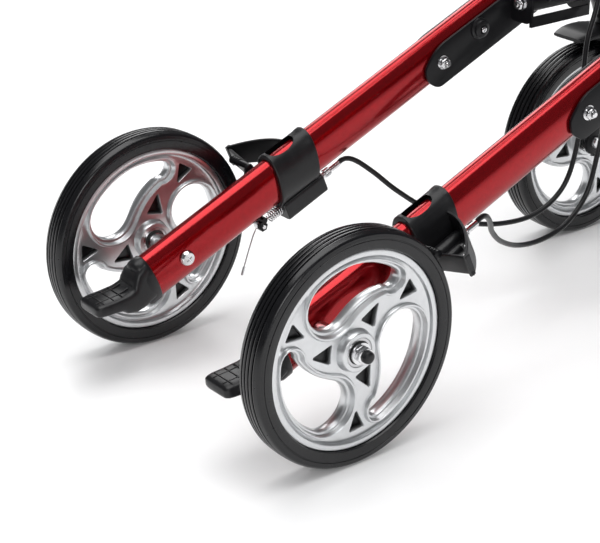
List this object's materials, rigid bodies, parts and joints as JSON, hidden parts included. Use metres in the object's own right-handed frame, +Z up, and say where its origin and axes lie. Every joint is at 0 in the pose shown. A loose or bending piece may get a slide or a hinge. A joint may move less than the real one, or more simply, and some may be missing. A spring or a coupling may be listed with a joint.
{
  "type": "rollator walker",
  "caption": "Side-folding rollator walker, shown folded: cast swirl-spoke wheels, red oval tube frame, scissor brace, split seat and cable brakes.",
  "frame": {"origin": "on the floor, under the middle of the folded frame's box", "axes": "+Z up, -Y is the walking direction, +X is the user's left"},
  "size_m": [0.3416, 0.7112, 0.9112],
  "materials": {
    "red_lacquer": "gloss metallic lacquer",
    "silver_casting": "satin cast and lacquered",
    "tyre": "satin black rubber",
    "bright_steel": "bright plated",
    "black_metal": "satin black powder coat",
    "seat_fabric": "woven",
    "grip_rubber": "matte moulded",
    "cable_cover": "smooth sheath",
    "black_plastic": "fine moulded grain"
  },
  "bodies": {
    "left_frame": {"left_leg": "red_lacquer", "left_tip_lever": "black_plastic", "left_outer_plate": "black_metal", "left_inner_plate": "black_metal", "left_upright": "red_lacquer", "left_stem_head": "black_plastic", "left_collar": "black_plastic", "left_rail_cradle": "black_plastic", "left_pivot_bolt": "bright_steel", "left_rear_axle": "bright_steel", "left_brake_sleeve": "black_plastic", "left_adjuster": "bright_steel", "left_brake_spring": "bright_steel", "left_brake_cable": "cable_cover"},
    "right_frame": {"right_leg": "red_lacquer", "right_tip_lever": "black_plastic", "right_outer_plate": "black_metal", "right_inner_plate": "black_metal", "right_upright": "red_lacquer", "right_stem_head": "black_plastic", "right_collar": "black_plastic", "right_rail_cradle": "black_plastic", "right_pivot_bolt": "bright_steel", "right_rear_axle": "bright_steel", "right_brake_sleeve": "black_plastic", "right_adjuster": "bright_steel", "right_brake_spring": "bright_steel", "right_brake_cable": "cable_cover"},
    "rear_brace": {"rear_brace": "black_metal", "right_seat_rail": "black_metal", "brace_bolt": "bright_steel", "brace_spacer": "black_plastic"},
    "front_brace": {"front_brace": "black_metal", "left_seat_rail": "black_metal"},
    "left_seat": {"left_seat_panel": "seat_fabric"},
    "left_handle": {"left_handle_tube": "red_lacquer", "left_grip": "grip_rubber", "left_lever_housing": "black_plastic"},
    "left_lever": {"left_brake_lever": "black_plastic"},
    "left_button": {"left_height_button": "silver_casting"},
    "left_brake": {"left_brake_arm": "black_metal"},
    "left_caster": {"left_fork": "black_metal", "left_front_axle": "bright_steel"},
    "left_front_wheel": {"left_front_rim": "silver_casting", "left_front_tyre": "tyre"},
    "left_rear_wheel": {"left_rear_rim": "silver_casting", "left_rear_tyre": "tyre"},
    "right_seat": {"right_seat_panel": "seat_fabric"},
    "right_handle": {"right_handle_tube": "red_lacquer", "right_grip": "grip_rubber", "right_lever_housing": "black_plastic"},
    "right_lever": {"right_brake_lever": "black_plastic"},
    "right_button": {"right_height_button": "silver_casting"},
    "right_brake": {"right_brake_arm": "black_metal"},
    "right_caster": {"right_fork": "black_metal", "right_front_axle": "bright_steel"},
    "right_front_wheel": {"right_front_rim": "silver_casting", "right_front_tyre": "tyre"},
    "right_rear_wheel": {"right_rear_rim": "silver_casting", "right_rear_tyre": "tyre"}
  },
  "joints": [
    {"name": "fold", "type": "hinge", "parent": "left_frame", "child": "rear_brace", "pos_m": [0.064, -0.1548, 0.272], "axis": [0, -1, 0], "range_deg": [0, 45.05]},
    {"name": "cross", "type": "hinge", "parent": "rear_brace", "child": "front_brace", "pos_m": [0, -0.1548, 0.49812], "axis": [0, -1, 0], "range_deg": [-90.11, 0]},
    {"name": "right_side_swing", "type": "hinge", "parent": "front_brace", "child": "right_frame", "pos_m": [-0.064, -0.1548, 0.272], "axis": [0, -1, 0], "range_deg": [0, 45.05]},
    {"name": "left_seat_fold", "type": "hinge", "parent": "front_brace", "child": "left_seat", "pos_m": [0.064, -0.1548, 0.72423], "axis": [0, -1, 0], "range_deg": [0, 135.05]},
    {"name": "left_height", "type": "slide", "parent": "left_frame", "child": "left_handle", "axis": [0, 0.3746, 0.9272], "range_m": [-0.05, 0.075]},
    {"name": "left_height_button_press", "type": "slide", "parent": "left_frame", "child": "left_button", "axis": [-1, 0, 0], "range_m": [0, 0.003], "stiffness_N_per_m": 600},
    {"name": "left_brake_squeeze", "type": "hinge", "parent": "left_handle", "child": "left_lever", "pos_m": [0.094, 0.04156, 0.8515], "axis": [1, 0, 0], "range_deg": [0, 12], "stiffness_Nm_per_rad": 1.2},
    {"name": "left_brake_pull", "type": "hinge", "parent": "left_frame", "child": "left_brake", "pos_m": [0.094, 0.16268, 0.11135], "axis": [-1, 0, 0], "range_deg": [0, 4.2], "stiffness_Nm_per_rad": 1},
    {"name": "left_caster_swivel", "type": "hinge", "parent": "left_frame", "child": "left_caster", "pos_m": [0.094, -0.289, 0.22464], "axis": [0, 0, -1], "continuous": true},
    {"name": "left_front_wheel_spin", "type": "hinge", "parent": "left_caster", "child": "left_front_wheel", "pos_m": [0.094, -0.254, 0.10104], "axis": [1, 0, 0], "continuous": true},
    {"name": "left_rear_wheel_spin", "type": "hinge", "parent": "left_frame", "child": "left_rear_wheel", "pos_m": [0.14425, 0.254, 0.10104], "axis": [1, 0, 0], "continuous": true},
    {"name": "right_seat_fold", "type": "hinge", "parent": "rear_brace", "child": "right_seat", "pos_m": [-0.064, -0.1548, 0.72423], "axis": [0, -1, 0], "range_deg": [-135.05, 0]},
    {"name": "right_height", "type": "slide", "parent": "right_frame", "child": "right_handle", "axis": [0, 0.3746, 0.9272], "range_m": [-0.05, 0.075]},
    {"name": "right_height_button_press", "type": "slide", "parent": "right_frame", "child": "right_button", "axis": [1, 0, 0], "range_m": [0, 0.003], "stiffness_N_per_m": 600},
    {"name": "right_brake_squeeze", "type": "hinge", "parent": "right_handle", "child": "right_lever", "pos_m": [-0.094, 0.04156, 0.8515], "axis": [1, 0, 0], "range_deg": [0, 12], "stiffness_Nm_per_rad": 1.2},
    {"name": "right_brake_pull", "type": "hinge", "parent": "right_frame", "child": "right_brake", "pos_m": [-0.094, 0.16268, 0.11135], "axis": [-1, 0, 0], "range_deg": [0, 4.2], "stiffness_Nm_per_rad": 1},
    {"name": "right_caster_swivel", "type": "hinge", "parent": "right_frame", "child": "right_caster", "pos_m": [-0.094, -0.289, 0.22464], "axis": [0, 0, 1], "continuous": true},
    {"name": "right_front_wheel_spin", "type": "hinge", "parent": "right_caster", "child": "right_front_wheel", "pos_m": [-0.094, -0.254, 0.10104], "axis": [1, 0, 0], "continuous": true},
    {"name": "right_rear_wheel_spin", "type": "hinge", "parent": "right_frame", "child": "right_rear_wheel", "pos_m": [-0.14425, 0.254, 0.10104], "axis": [1, 0, 0], "continuous": true}
  ],
  "couplings": [
    {"joint": "cross", "follows": "fold", "ratio": -2},
    {"joint": "right_side_swing", "follows": "fold", "ratio": 1},
    {"joint": "left_seat_fold", "follows": "fold", "ratio": 2.9976},
    {"joint": "left_brake_pull", "follows": "left_brake_squeeze", "ratio": 0.35},
    {"joint": "right_seat_fold", "follows": "fold", "ratio": -2.9976},
    {"joint": "right_brake_pull", "follows": "right_brake_squeeze", "ratio": 0.35}
  ]
}
